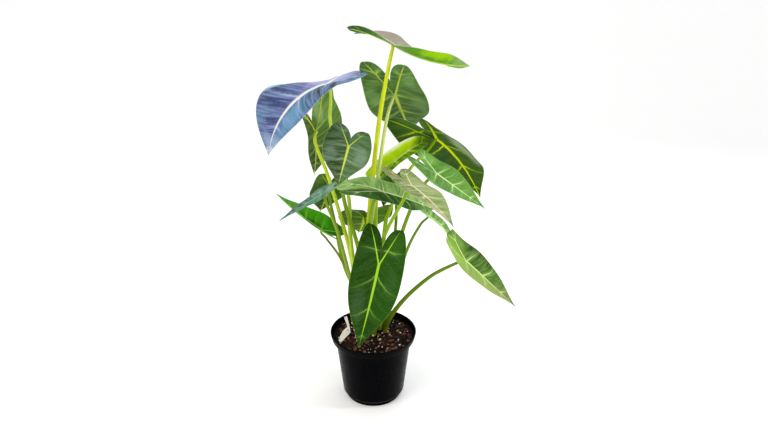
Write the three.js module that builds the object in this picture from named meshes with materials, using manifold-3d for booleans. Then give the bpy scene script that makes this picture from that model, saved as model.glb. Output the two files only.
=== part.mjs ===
// An arrow-leaved aroid with velvety leaves, growing in a round black nursery pot.
// Millimetres, +Z up. The origin is the middle of the pot's underside.
import * as THREE from "three";
import { mergeVertices } from "three/addons/utils/BufferGeometryUtils.js";
import Module from "manifold-3d";

const wasm = await Module();
wasm.setup();

// Pot
const POT_HEIGHT = 132;
const RIM_RADIUS = 79.5;
const COLLAR_HEIGHT = 14;
const COLLAR_FOOT_RADIUS = 76.5;
const BODY_TOP_RADIUS = 70;
const BODY_FOOT_RADIUS = 57.5;
const FOOT_HEIGHT = 10;
const FOOT_RADIUS = 52;
const POT_WALL = 1.4;
const POT_SIDES = 48;
const DRAIN_COUNT = 6;
const DRAIN_RADIUS = 4.5;
const DRAIN_RING_RADIUS = 38;

// Soil
const SOIL_TOP = 121;
const SOIL_GAP = 0.3;
const HOLE_FLOOR = 97;
const HOLE_CLEARANCE = 0.4;
const HOLE_SIDES = 12;

// Label
const LABEL_THICKNESS = 0.7;
const LABEL_BEND_Y = 19;
const LABEL_SLOPE = 0.28;
const LABEL_OUTLINE = [
  [-43, 5], [-44, 15], [-45.5, 25], [-49.5, 40], [-52, 50.5], [-57.2, 47.5], [-55, 40], [-49.6, 24],
  [-54, 17.7], [-57.5, 9.8], [-60.4, -2.6], [-62.4, -12], [-63, -20], [-62.3, -25], [-60.4, -27.6],
  [-57, -26.6], [-52, -14.7], [-47, -4.3],
];

// Blades: thickness in mm, the rest in parts of the length from stalk to tip
const BLADE_THICKNESS = 1.0;
const MIDRIB_THICKNESS = 3.0;
const LOBE_RIB_THICKNESS = 2.4;
const QUILT = 0.9;
const SPLAY = 0.62;
const NOTCH = 0.42;
const VEIN_BOW = 0.05;
const LOBE_ROWS = [-1, -0.82, -0.65, -0.5, -0.35, -0.17, 0];
const MAIN_ROWS = [0, 0.07, 0.14, 0.235, 0.33, 0.425, 0.52, 0.61, 0.7, 0.85, 1];
const HIGH_ROWS = [-0.82, -0.5, -0.17, 0.07, 0.235, 0.425, 0.61];
const OUTER_COLUMNS = 3;

// Petioles
const STALK_SIDES = 6;
const STALK_FOOT = HOLE_FLOOR + 0.6;
const STALK_START = SOIL_TOP + 1.5;
const STALK_STEPS = 13;
const STALK_GAP = 0.4;
const STALK_LEAN = 0.35;

// Each leaf: where the stalk meets the blade, the blade's size and turn, and the stalk's way up.
// Angles in degrees: heading turns from +X towards +Y, pitch lifts the tip, roll lifts the left half.
// Some leaves have their own notch, splay, lean (of the stalk's end) or lobeTwist (at the lobes' ends).
const LEAVES = [
  { name: "crown", at: [36, 10, 643], length: 125, width: 0.225, lobe: 0.57, wideAt: 0.08, uneven: -0.12,
    full: 0.3, heading: -4, pitch: -31, roll: 15, droop: -34, lobeDroop: 38, fold: 9, cup: -20, twist: -59,
    lobeTwist: -26, wave: 1.5, phase: 40, foot: 5.2, top: 2.6, lean: -0.35,
    way: [[-14, 22], [-7, -5, 337], [11, -7, 515], [27, 7, 607]] },
  { name: "rear_upper", at: [38, 65, 558], length: 174, width: 0.31, lobe: 0.51, wideAt: 0.16,
    uneven: -0.02, full: 0.1, heading: 74, pitch: -41, roll: -4, droop: -16, lobeDroop: 0, fold: 2,
    cup: 17, twist: -17, wave: 2.5, phase: 120, foot: 4.4, top: 2.4,
    way: [[-3, 31], [-7, 9, 293], [11, 3, 436], [25, 32, 522]] },
  { name: "rear_right", at: [114, 94, 473], length: 190, width: 0.37, lobe: 0.46, wideAt: 0.14, uneven: 0,
    full: 0.12, heading: 42, pitch: -33, roll: -11, droop: 30, lobeDroop: -3, fold: 0, cup: 30, twist: -4,
    wave: 3, phase: 200, foot: 4.4, top: 2.4, way: [[7, 30], [20, 9, 317], [30, 12, 364], [62, 22, 431]] },
  { name: "left_upper", at: [-67, -20, 586], length: 157, width: 0.38, lobe: 0.37, wideAt: 0.16,
    uneven: -0.4, full: 0.15, notch: 0.9, heading: -151, pitch: -8, roll: 3, droop: 71, lobeDroop: -8,
    fold: 12, cup: 38, twist: -74, lobeTwist: 0, wave: 2, phase: 300, foot: 4.4, top: 2.4, lean: 0.1,
    way: [[-24, 20], [-39, 5, 312], [-42, 12, 393], [-68, 12, 510]] },
  { name: "left_heart", at: [-35, -55, 495], length: 127, width: 0.3, lobe: 0.46, wideAt: 0.1,
    uneven: -0.05, full: 0.09, heading: -95, pitch: -15, roll: -18, droop: -5, lobeDroop: 2, fold: 8,
    cup: 12, twist: 6, wave: 2, phase: 10, foot: 4.6, top: 2.4,
    way: [[-10, 2], [-23, -2, 282], [-47, -7, 383], [-51, -31, 454]] },
  { name: "centre", at: [17, -60, 421], length: 124, width: 0.26, lobe: 0.58, wideAt: 0.05, uneven: 0.02,
    full: 0.07, notch: 0.85, heading: 31, pitch: -22, roll: 24, droop: 8, lobeDroop: 28, fold: 11, cup: 15,
    twist: 26, wave: 2, phase: 90, foot: 4, top: 2.4,
    way: [[2, 11], [-1, -22, 237], [-6, -42, 334], [1, -56, 395]] },
  { name: "left_narrow", at: [-81, -50, 414], length: 82, width: 0.31, lobe: 0.38, wideAt: 0.08, uneven: 0,
    full: 0.085, heading: -172, pitch: -31, roll: 0, droop: 0, lobeDroop: 5, fold: 9, cup: 11, twist: 0,
    wave: 1.5, phase: 150, foot: 3.8, top: 2.2,
    way: [[-22, 0], [-37, -30, 239], [-56, -40, 337], [-73, -48, 393]] },
  { name: "centre_right", at: [62, -90, 441], length: 116, width: 0.3, lobe: 0.47, wideAt: 0.09, uneven: 0,
    full: 0.1, heading: -58, pitch: -8, roll: -14, droop: 15, lobeDroop: -11, fold: 13, cup: 14, twist: 2,
    wave: 1.5, phase: 220, foot: 4, top: 2.4,
    way: [[-16, -9], [0, -37, 243], [19, -59, 339], [46, -85, 407]] },
  { name: "right_upper", at: [106, -20, 440], length: 99, width: 0.31, lobe: 0.51, wideAt: 0.08, uneven: 0,
    full: 0.09, heading: -30, pitch: -27, roll: 12, droop: 1, lobeDroop: -8, fold: 13, cup: 7, twist: 12,
    wave: 1.5, phase: 280, foot: 4.6, top: 2.4,
    way: [[11, 20], [31, 1, 247], [59, 3, 349], [86, -6, 413]] },
  { name: "right_low", at: [160, -30, 287], length: 118, width: 0.32, lobe: 0.45, wideAt: 0.08, uneven: 0,
    full: 0.085, notch: 0.85, heading: -16, pitch: -40, roll: 9, droop: 0, lobeDroop: -19, fold: 19,
    cup: 14, twist: 13, wave: 1.5, phase: 330, foot: 5, top: 2.2,
    way: [[22, 12], [49, -10, 191], [98, -13, 244], [139, -22, 274]] },
  { name: "front", at: [12, -90, 309], length: 143, width: 0.3, lobe: 0.42, wideAt: 0.2, uneven: -0.02,
    full: 0.13, heading: -113, pitch: -58, roll: -30, droop: 23, lobeDroop: 20, fold: 15, cup: 10,
    twist: -7, wave: 1.5, phase: 60, foot: 4.6, top: 2.4,
    way: [[1, 1], [23, -33, 198], [15, -50, 264], [11, -72, 299]] },
  { name: "left_low", at: [-90, 15, 325], length: 103, width: 0.33, lobe: 0.37, wideAt: 0.07,
    uneven: -0.03, full: 0.085, heading: 168, pitch: 30, roll: 2, droop: -15, lobeDroop: -8, fold: 25,
    cup: 3, twist: 5, wave: 1.5, phase: 110, foot: 2.7, top: 1.8,
    way: [[-33, 8], [-31.5, -4, 209], [-58, 13, 270], [-83, 16, 308]] },
  { name: "left_rear", at: [-102, 55, 495], length: 146, width: 0.34, lobe: 0.39, wideAt: 0.02,
    uneven: -0.6, full: 0.055, splay: 0.66, heading: 93, pitch: -50, roll: -58, droop: -9, lobeDroop: -26,
    fold: -4, cup: -8, twist: 37, lobeTwist: -4, wave: 2, phase: 170, foot: 4.4, top: 2.4,
    way: [[-24, 31], [-40, 16, 275], [-73, 22, 409], [-99, 41, 477]] },
  { name: "left_rear_low", at: [-78, 60, 393], length: 111, width: 0.3, lobe: 0.38, wideAt: 0.1,
    uneven: 0.05, full: 0.09, heading: 111, pitch: -48, roll: 7, droop: -10, lobeDroop: 0, fold: 2,
    cup: 19, twist: 3, wave: 2, phase: 240, foot: 3.6, top: 2.2,
    way: [[-13, 38], [-55, 46, 242], [-71, 50, 332], [-79, 50, 379]] },
  { name: "rear_low", at: [-16, 80, 327], length: 147, width: 0.35, lobe: 0.47, wideAt: 0.06,
    uneven: -0.04, full: 0.08, heading: 98, pitch: -38, roll: -1, droop: -9, lobeDroop: 18, fold: 12,
    cup: 11, twist: 7, wave: 2, phase: 310, foot: 3.6, top: 2.2,
    way: [[-2, 42], [-3, 41, 204], [-9, 46, 273], [-12, 62, 312]] },
  { name: "rear_mid", at: [36, 65, 401], length: 87, width: 0.3, lobe: 0.38, wideAt: 0.08, uneven: 0,
    full: 0.085, heading: 110, pitch: -49, roll: -2, droop: 6, lobeDroop: 0, fold: 6, cup: 17, twist: 4,
    wave: 1.5, phase: 20, foot: 3.6, top: 2.2,
    way: [[16, 37], [33, 41, 238], [42, 42, 335], [40, 52, 386]] },
  { name: "right_edge", at: [99, 10, 354], length: 82, width: 0.3, lobe: 0.35, wideAt: 0.08, uneven: 0,
    full: 0.085, heading: 10, pitch: -37, roll: 8, droop: 25, lobeDroop: -2, fold: 15, cup: 10, twist: 13,
    wave: 1.5, phase: 80, foot: 3.6, top: 2, lean: -0.1,
    way: [[21, 25], [40, 4, 213], [61, 7, 290], [83, 9, 336]] },
  { name: "young", at: [39, 48, 442], length: 88, width: 0.343, lobe: 0.62, wideAt: 0, uneven: -0.01,
    full: 0.158, heading: 10, pitch: 40, roll: 56, droop: 65, lobeDroop: -5, fold: 45, cup: -27, twist: 15,
    lobeTwist: 1, wave: 1, phase: 130, foot: 4, top: 2.2, lean: 1,
    way: [[1.5, 21], [2.5, 16, 175], [5, 21, 265], [7, 21, 380], [16, 52, 419]] },
];

const LEAF_COLOURS = {
  crown: 0x6f8f3a, rear_upper: 0x3f6a35, rear_right: 0x2f5a26, left_upper: 0x5d6f96, left_heart: 0x3f6b3f,
  centre: 0x5e7a5a, left_narrow: 0x5f7f70, centre_right: 0x8f9a72, right_upper: 0x5fa048,
  right_low: 0x6f9f4a, front: 0x2f6420, left_low: 0x2f8a1a, left_rear: 0x5f7f3a,
  left_rear_low: 0x3f6a24, rear_low: 0x4a6f18,
  rear_mid: 0x3a5a2a, right_edge: 0x6f8a4a, young: 0xa5d41c,
};

const rad = THREE.MathUtils.degToRad;

function material(colour, roughness) {
  return new THREE.MeshStandardMaterial({ color: colour, roughness, metalness: 0 });
}

function named(name, geometry, look) {
  const mesh = new THREE.Mesh(geometry, look);
  mesh.name = name;
  return mesh;
}

// Solids for cutting

function toSolid(geometry) {
  const bare = geometry.index ? geometry.toNonIndexed() : geometry.clone();
  bare.deleteAttribute("normal");
  bare.deleteAttribute("uv");
  const merged = mergeVertices(bare, 1e-3);
  return new wasm.Manifold(
    new wasm.Mesh({
      numProp: 3,
      vertProperties: merged.attributes.position.array,
      triVerts: new Uint32Array(merged.index.array),
    }),
  );
}

function fromSolid(solid) {
  const mesh = solid.getMesh();
  const geometry = new THREE.BufferGeometry();
  geometry.setAttribute("position", new THREE.BufferAttribute(mesh.vertProperties, 3));
  geometry.setIndex(new THREE.BufferAttribute(mesh.triVerts, 1));
  geometry.computeVertexNormals();
  return geometry;
}

// A profile of [radius, height] pairs turned round +Z.
function turned(profile, sides) {
  const points = profile.map(([r, z]) => new THREE.Vector2(r, z));
  return new THREE.LatheGeometry(points, sides).rotateX(Math.PI / 2);
}

function drill(x, y, radius, from, to, sides) {
  return new THREE.CylinderGeometry(radius, radius, to - from, sides)
    .rotateX(Math.PI / 2)
    .translate(x, y, (from + to) / 2);
}

// Pot: thin wall, deep collar, foot set in under the body
function makePot() {
  const collarFoot = POT_HEIGHT - COLLAR_HEIGHT;
  const w = POT_WALL;
  const profile = [
    [0, 0],
    [FOOT_RADIUS, 0],
    [FOOT_RADIUS + 0.6, FOOT_HEIGHT],
    [BODY_FOOT_RADIUS, FOOT_HEIGHT],
    [BODY_TOP_RADIUS, collarFoot],
    [COLLAR_FOOT_RADIUS, collarFoot],
    [RIM_RADIUS - 0.3, POT_HEIGHT - 3],
    [RIM_RADIUS, POT_HEIGHT - 1.2],
    [RIM_RADIUS - 0.8, POT_HEIGHT],
    [RIM_RADIUS - 1.8, POT_HEIGHT - 0.6],
    [COLLAR_FOOT_RADIUS - w, collarFoot + w],
    [BODY_TOP_RADIUS - w, collarFoot + w],
    [BODY_FOOT_RADIUS - w, FOOT_HEIGHT + w],
    [FOOT_RADIUS + 0.6 - w, FOOT_HEIGHT + w],
    [FOOT_RADIUS - w, w],
    [0, w],
  ];
  let pot = toSolid(turned(profile, POT_SIDES));
  for (let i = 0; i < DRAIN_COUNT; i++) {
    const a = ((i + 0.5) / DRAIN_COUNT) * 2 * Math.PI;
    const x = DRAIN_RING_RADIUS * Math.cos(a);
    const y = DRAIN_RING_RADIUS * Math.sin(a);
    pot = pot.subtract(toSolid(drill(x, y, DRAIN_RADIUS, -1, w + 1, 12)));
  }
  return fromSolid(pot);
}

// Soil: fills the pot to just above the collar's step, with a plain hole for each petiole
function makeSoil() {
  const collarFoot = POT_HEIGHT - COLLAR_HEIGHT;
  const w = POT_WALL + SOIL_GAP;
  const top = (r) => SOIL_TOP - 0.4 + 0.4 * Math.cos(r / 9);
  const profile = [
    [0, w],
    [FOOT_RADIUS - w, w],
    [FOOT_RADIUS + 0.6 - w, FOOT_HEIGHT + w],
    [BODY_FOOT_RADIUS - w, FOOT_HEIGHT + w],
    [BODY_TOP_RADIUS - w, collarFoot + w],
    [COLLAR_FOOT_RADIUS - w, collarFoot + w],
    [COLLAR_FOOT_RADIUS - w + 0.2, top(75)],
    [62, top(62)],
    [48, top(48)],
    [34, top(34)],
    [0, top(34)],
  ];
  let soil = toSolid(turned(profile, POT_SIDES));
  for (const leaf of LEAVES) {
    const [x, y] = leaf.way[0];
    const r = (leaf.foot + HOLE_CLEARANCE) / Math.cos(Math.PI / HOLE_SIDES);
    soil = soil.subtract(toSolid(drill(x, y, r, HOLE_FLOOR, SOIL_TOP + 5, HOLE_SIDES)));
  }
  return fromSolid(soil);
}

// Label: a bare plastic tag, its wide end lying on the soil, its narrow end up against the pot's wall
function makeLabel() {
  const outline = new THREE.Shape(LABEL_OUTLINE.map(([x, y]) => new THREE.Vector2(x, y)));
  const tag = new THREE.ExtrudeGeometry(outline, { depth: LABEL_THICKNESS, bevelEnabled: false });
  const p = tag.attributes.position;
  for (let i = 0; i < p.count; i++) {
    const lift = Math.max(0, p.getY(i) - LABEL_BEND_Y) * LABEL_SLOPE;
    p.setZ(i, p.getZ(i) + SOIL_TOP + 0.3 + lift);
  }
  tag.computeVertexNormals();
  return tag;
}

// Blades

// A point of the flat blade, along and across, in parts of its length.
// s runs from the lobe's end (-1) over the stalk (0) to the tip (1);
// t is 1 on the outer edge, 0 on the rib and -1 on the edge between the two lobes.
function flatPoint(leaf, s, t, side) {
  const half = leaf.width * (1 + side * leaf.uneven);
  const across = (leaf.splay ?? SPLAY) * half;
  const lobeEnd = new THREE.Vector2(-leaf.lobe, across);
  const widest = new THREE.Vector2(leaf.wideAt, half);
  const tip = new THREE.Vector2(1, 0);
  const stalk = new THREE.Vector2(0, 0);
  const notch = new THREE.Vector2(-(leaf.notch ?? NOTCH) * leaf.lobe, 0);
  const lobed = s < 0 || t < 0;
  const g = lobed ? s + 1 : s;
  const rib = lobed ? lobeEnd.clone().lerp(stalk, g) : new THREE.Vector2(g, 0);
  let edge;
  if (t >= 0) {
    const curve = lobed
      ? new THREE.CubicBezierCurve(
          lobeEnd,
          new THREE.Vector2(lobeEnd.x - 0.1 * leaf.lobe, lobeEnd.y + 0.62 * (half - across)),
          new THREE.Vector2(widest.x - 0.55 * (leaf.lobe + leaf.wideAt), widest.y),
          widest,
        )
      : new THREE.CubicBezierCurve(
          widest,
          new THREE.Vector2(widest.x + 0.45 * (1 - leaf.wideAt), widest.y),
          new THREE.Vector2(0.7, leaf.full),
          tip,
        );
    edge = curve.getPoint(g);
  } else if (g < 0.6) {
    edge = new THREE.CubicBezierCurve(
      lobeEnd,
      new THREE.Vector2(lobeEnd.x - 0.06 * leaf.lobe, 0.45 * lobeEnd.y),
      new THREE.Vector2(notch.x - 0.3 * leaf.lobe, 0.1 * lobeEnd.y),
      notch,
    ).getPoint(g / 0.6);
  } else {
    edge = notch.clone().lerp(stalk, (g - 0.6) / 0.4);
  }
  const point = rib.lerp(edge, Math.abs(t));
  const bow = lobed ? 0 : Math.sin(Math.PI * Math.max(0, t)) * (1 - g) * Math.min(1, 6 * g);
  return [point.x + VEIN_BOW * bow, point.y * side];
}

function bladeFrame(leaf) {
  const h = rad(leaf.heading);
  const p = rad(leaf.pitch);
  const r = rad(leaf.roll);
  const along = new THREE.Vector3(Math.cos(p) * Math.cos(h), Math.cos(p) * Math.sin(h), Math.sin(p));
  const left = new THREE.Vector3(-Math.sin(h), Math.cos(h), 0);
  const up = along.clone().cross(left);
  return {
    along,
    left: left.clone().multiplyScalar(Math.cos(r)).addScaledVector(up, Math.sin(r)),
    up: up.clone().multiplyScalar(Math.cos(r)).addScaledVector(left, -Math.sin(r)),
  };
}

// How far an arc of that length runs forward and sideways when it starts at an angle and turns at a rate.
function arc(length, rate, start) {
  const k = Math.abs(rate) < 1e-6 ? 1e-6 : rate;
  return [
    (Math.sin(start + k * length) - Math.sin(start)) / k,
    (Math.cos(start) - Math.cos(start + k * length)) / k,
  ];
}

// The bent blade's upper face at a flat point, raised by lift mm.
function bentPoint(leaf, frame, a, b, lift) {
  const rate = a >= 0 ? rad(leaf.droop) : rad(leaf.lobeDroop) / leaf.lobe;
  const [forward, drop] = arc(a, rate, 0);
  const turn = rate * a;
  const twist = a < 0 && "lobeTwist" in leaf ? (rad(leaf.lobeTwist) * -a) / leaf.lobe : rad(leaf.twist) * a;
  const up = frame.up.clone().multiplyScalar(Math.cos(turn)).addScaledVector(frame.along, Math.sin(turn));
  const side = frame.left.clone().multiplyScalar(Math.cos(twist)).addScaledVector(up, Math.sin(twist));
  const normal = up.multiplyScalar(Math.cos(twist)).addScaledVector(frame.left, -Math.sin(twist));
  const q = Math.abs(b);
  const sign = Math.sign(b);
  const [out, rise] = arc(q, -rad(leaf.cup) / leaf.width, rad(leaf.fold));
  const ripple = leaf.wave * (q / leaf.width) ** 2 * Math.sin(9 * a + rad(leaf.phase) + 1.3 * sign);
  return new THREE.Vector3(...leaf.at)
    .addScaledVector(frame.along, forward * leaf.length)
    .addScaledVector(frame.up, -drop * leaf.length)
    .addScaledVector(side, sign * out * leaf.length)
    .addScaledVector(normal, rise * leaf.length + ripple + lift);
}

function bladeThickness(s, t) {
  if (t !== 0) return BLADE_THICKNESS;
  if (s < 0) return THREE.MathUtils.lerp(MIDRIB_THICKNESS, LOBE_RIB_THICKNESS - 1.4, -s);
  return THREE.MathUtils.lerp(MIDRIB_THICKNESS, BLADE_THICKNESS, s);
}

function makeBlade(leaf) {
  const frame = bladeFrame(leaf);
  const points = [];
  const thickness = [];
  const known = new Map();
  const faces = [];

  function corner(s, t, side) {
    const [a, b] = flatPoint(leaf, s, t, side);
    const high = HIGH_ROWS.includes(s) ? 1 : -0.3;
    const lift = t > 0 ? QUILT * high * Math.sin(Math.PI * t) : 0;
    const p = bentPoint(leaf, frame, a, Math.abs(b) < 1e-9 ? 0 : b, lift);
    const key = `${p.x.toFixed(3)} ${p.y.toFixed(3)} ${p.z.toFixed(3)}`;
    if (!known.has(key)) {
      known.set(key, points.length);
      points.push(p);
      thickness.push(bladeThickness(s, t));
    }
    return known.get(key);
  }

  function quad(a, b, c, d, flip) {
    for (const [i, j, k] of [[a, b, c], [a, c, d]]) {
      if (i === j || j === k || k === i) continue;
      faces.push(flip ? [i, k, j] : [i, j, k]);
    }
  }

  const columns = [...Array(OUTER_COLUMNS + 1).keys()].map((i) => i / OUTER_COLUMNS);
  for (const side of [1, -1]) {
    for (const [rows, cols, inner] of [
      [LOBE_ROWS, columns, false],
      [MAIN_ROWS, columns, false],
      [LOBE_ROWS, [0, -1], true],
    ]) {
      for (let i = 0; i + 1 < rows.length; i++) {
        for (let j = 0; j + 1 < cols.length; j++) {
          quad(
            corner(rows[i], cols[j], side),
            corner(rows[i + 1], cols[j], side),
            corner(rows[i + 1], cols[j + 1], side),
            corner(rows[i], cols[j + 1], side),
            inner !== side < 0,
          );
        }
      }
    }
  }

  const normals = points.map(() => new THREE.Vector3());
  for (const [i, j, k] of faces) {
    const n = points[j].clone().sub(points[i]).cross(points[k].clone().sub(points[i]));
    for (const v of [i, j, k]) normals[v].add(n);
  }
  const count = points.length;
  const under = points.map((p, i) => p.clone().addScaledVector(normals[i].normalize(), -thickness[i]));
  const edges = new Map();
  for (const f of faces) {
    for (let e = 0; e < 3; e++) {
      const a = f[e];
      const b = f[(e + 1) % 3];
      if (edges.has(`${b} ${a}`)) edges.delete(`${b} ${a}`);
      else edges.set(`${a} ${b}`, [a, b]);
    }
  }
  const index = [];
  for (const [i, j, k] of faces) index.push(i, j, k, i + count, k + count, j + count);
  for (const [a, b] of edges.values()) index.push(b, a, a + count, b, a + count, b + count);

  const geometry = new THREE.BufferGeometry().setFromPoints([...points, ...under]);
  geometry.setIndex(index);
  geometry.computeVertexNormals();
  return geometry;
}

// Petioles

// Straight in the soil, then a smooth curve over the way points to just under the blade.
class StalkCurve extends THREE.Curve {
  constructor(leaf) {
    super();
    const frame = bladeFrame(leaf);
    this.up = frame.up;
    this.end = new THREE.Vector3(...leaf.at).addScaledVector(frame.up, -MIDRIB_THICKNESS - STALK_GAP);
    const [x, y] = leaf.way[0];
    this.foot = new THREE.Vector3(x, y, STALK_FOOT);
    const way = [new THREE.Vector3(x, y, STALK_START)];
    for (const stop of leaf.way.slice(1)) way.push(new THREE.Vector3(...stop));
    const p = [...way, this.end];
    const next = (i) => p[Math.min(i + 1, p.length - 1)].clone();
    const slopes = p.map((_, i) => (i ? next(i).sub(p[i - 1]).multiplyScalar(0.5) : 0));
    slopes[0] = p[1].clone().sub(p[0]).multiply(new THREE.Vector3(0.3, 0.3, 1));
    const last = p.length - 1;
    slopes[last] = frame.up
      .clone()
      .addScaledVector(frame.along, leaf.lean ?? STALK_LEAN)
      .normalize()
      .multiplyScalar(p[last].distanceTo(p[last - 1]));
    this.way = p;
    this.slopes = slopes;
  }

  getPoint(t, target = new THREE.Vector3()) {
    const step = t * STALK_STEPS;
    if (step <= 1) return target.lerpVectors(this.foot, this.way[0], step);
    const spans = this.way.length - 1;
    const f = ((step - 1) / (STALK_STEPS - 1)) * spans;
    const i = Math.min(spans - 1, Math.floor(f));
    const u = f - i;
    const [p, q, m, n] = [this.way[i], this.way[i + 1], this.slopes[i], this.slopes[i + 1]];
    return target
      .set(0, 0, 0)
      .addScaledVector(p, 2 * u ** 3 - 3 * u ** 2 + 1)
      .addScaledVector(m, u ** 3 - 2 * u ** 2 + u)
      .addScaledVector(q, -2 * u ** 3 + 3 * u ** 2)
      .addScaledVector(n, u ** 3 - u ** 2);
  }

  getPointAt(u, target) {
    return this.getPoint(u, target);
  }

  getTangentAt(u, target) {
    return this.getTangent(u, target);
  }
}

function makePetiole(leaf) {
  const curve = new StalkCurve(leaf);
  const section = new THREE.Shape();
  for (let i = 0; i < STALK_SIDES; i++) {
    const a = (i / STALK_SIDES) * 2 * Math.PI;
    if (i) section.lineTo(Math.cos(a), Math.sin(a));
    else section.moveTo(Math.cos(a), Math.sin(a));
  }
  section.closePath();
  const settings = { steps: STALK_STEPS, extrudePath: curve, bevelEnabled: false };
  const tube = new THREE.ExtrudeGeometry(section, settings);
  const centres = curve.getSpacedPoints(STALK_STEPS);
  const endTangent = curve.getTangentAt(1);
  const position = tube.attributes.position;
  const p = new THREE.Vector3();
  for (let i = 0; i < position.count; i++) {
    p.fromBufferAttribute(position, i);
    let ring = 0;
    for (let k = 1; k < centres.length; k++) {
      if (p.distanceToSquared(centres[k]) < p.distanceToSquared(centres[ring])) ring = k;
    }
    const rise = Math.max(0, ring - 1) / (STALK_STEPS - 1);
    const radius = THREE.MathUtils.lerp(leaf.foot, leaf.top, rise ** 0.8);
    p.sub(centres[ring]).multiplyScalar(radius).add(centres[ring]);
    if (ring === STALK_STEPS) {
      const off = p.clone().sub(curve.end).dot(curve.up) / endTangent.dot(curve.up);
      p.addScaledVector(endTangent, -off);
    }
    position.setXYZ(i, p.x, p.y, p.z);
  }
  tube.computeVertexNormals();
  return tube;
}

// The whole plant

const plant = new THREE.Group();
plant.name = "potted_plant";
plant.add(named("pot", makePot(), material(0x0d0e10, 0.38)));
plant.add(named("soil", makeSoil(), material(0x2a1c14, 0.95)));
plant.add(named("label", makeLabel(), material(0xe9e4dc, 0.5)));
for (const leaf of LEAVES) {
  plant.add(named(`petiole_${leaf.name}`, makePetiole(leaf), material(0x8faa28, 0.5)));
  plant.add(named(`blade_${leaf.name}`, makeBlade(leaf), material(LEAF_COLOURS[leaf.name], 0.6)));
}

export default plant;
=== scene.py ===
import random
from math import cos, exp, pi, radians, sin

import bmesh
import bpy
from mathutils import Matrix, Vector, noise


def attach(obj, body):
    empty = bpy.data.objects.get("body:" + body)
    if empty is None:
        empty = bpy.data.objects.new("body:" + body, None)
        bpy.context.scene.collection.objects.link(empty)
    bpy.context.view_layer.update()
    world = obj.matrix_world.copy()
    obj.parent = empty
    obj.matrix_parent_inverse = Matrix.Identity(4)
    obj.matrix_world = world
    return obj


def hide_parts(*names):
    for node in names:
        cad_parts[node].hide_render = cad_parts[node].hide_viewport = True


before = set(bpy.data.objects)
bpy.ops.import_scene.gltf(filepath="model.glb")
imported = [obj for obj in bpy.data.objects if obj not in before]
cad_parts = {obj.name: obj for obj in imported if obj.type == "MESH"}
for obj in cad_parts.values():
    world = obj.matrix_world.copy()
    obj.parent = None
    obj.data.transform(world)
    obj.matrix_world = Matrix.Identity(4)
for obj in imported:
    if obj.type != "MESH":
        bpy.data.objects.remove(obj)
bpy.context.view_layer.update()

MM = 0.001


# The pot: a round nursery pot with a deep collar, a thin wall and a foot set in under the body.
# Black polypropylene, injection moulded in one shot, so its surface is satin with faint flow marks.

POT_HEIGHT = 132
RIM_RADIUS = 79.5
COLLAR_FOOT = 118
COLLAR_FOOT_RADIUS = 76.5
BODY_TOP_RADIUS = 70
BODY_FOOT_RADIUS = 57.5
FOOT_HEIGHT = 10
FOOT_RADIUS = 52
FOOT_TOP_RADIUS = 52.6
POT_WALL = 1.4
POT_CORNER = 0.9
POT_SIDES = 160
DRAIN_COUNT = 6
DRAIN_RADIUS = 4.5
DRAIN_RING_RADIUS = 38

# Settings that many of the materials' nodes share.
RGBA = {"data_type": "RGBA"}
SMOOTH = {"interpolation_type": "SMOOTHSTEP"}
TIMES = {"operation": "MULTIPLY"}
TIMES_PLUS = {"operation": "MULTIPLY_ADD"}
CLAMPED = {"use_clamp": True}


def colour(hex_code):
    """An sRGB hex colour as the linear RGBA that the shaders take."""
    parts = [int(hex_code[i : i + 2], 16) / 255 for i in (1, 3, 5)]
    linear = [p / 12.92 if p <= 0.04045 else ((p + 0.055) / 1.055) ** 2.4 for p in parts]
    return (*linear, 1)


def fill(node, sockets):
    """Gives a node's inputs a number, a hex colour or another node's output each."""
    for key, value in sockets.items():
        if isinstance(value, bpy.types.NodeSocket):
            node.id_data.links.new(value, node.inputs[key])
        else:
            node.inputs[key].default_value = colour(value) if isinstance(value, str) else value


def new_material(name):
    """A material's function that adds a node to it, its Principled shader and the material."""
    made = bpy.data.materials.new(name)
    made.use_nodes = True
    nodes = made.node_tree.nodes

    def add(kind, sockets={}, settings={}, out=0):
        """A new shader node with its inputs and settings; hands on the output called out.
        A Map Range takes a value as 0, its range as 1 and 2 and the new range as 3 and 4; a Mix of
        colours takes the share of the second as 0 and the two colours as 6 and 7, and gives 2."""
        node = nodes.new("ShaderNode" + kind)
        for setting, value in settings.items():
            setattr(node, setting, value)
        fill(node, sockets)
        return node.outputs[out]

    return add, nodes["Principled BSDF"], made


def new_piece(name, bm, *materials, smooth=True):
    """An object at the origin from a bmesh, with its materials in slot order."""
    mesh = bpy.data.meshes.new(name)
    for face in bm.faces:
        face.smooth = smooth
    bm.to_mesh(mesh)
    bm.free()
    for material in materials:
        mesh.materials.append(material)
    made = bpy.data.objects.new(name, mesh)
    bpy.context.scene.collection.objects.link(made)
    return made


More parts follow.
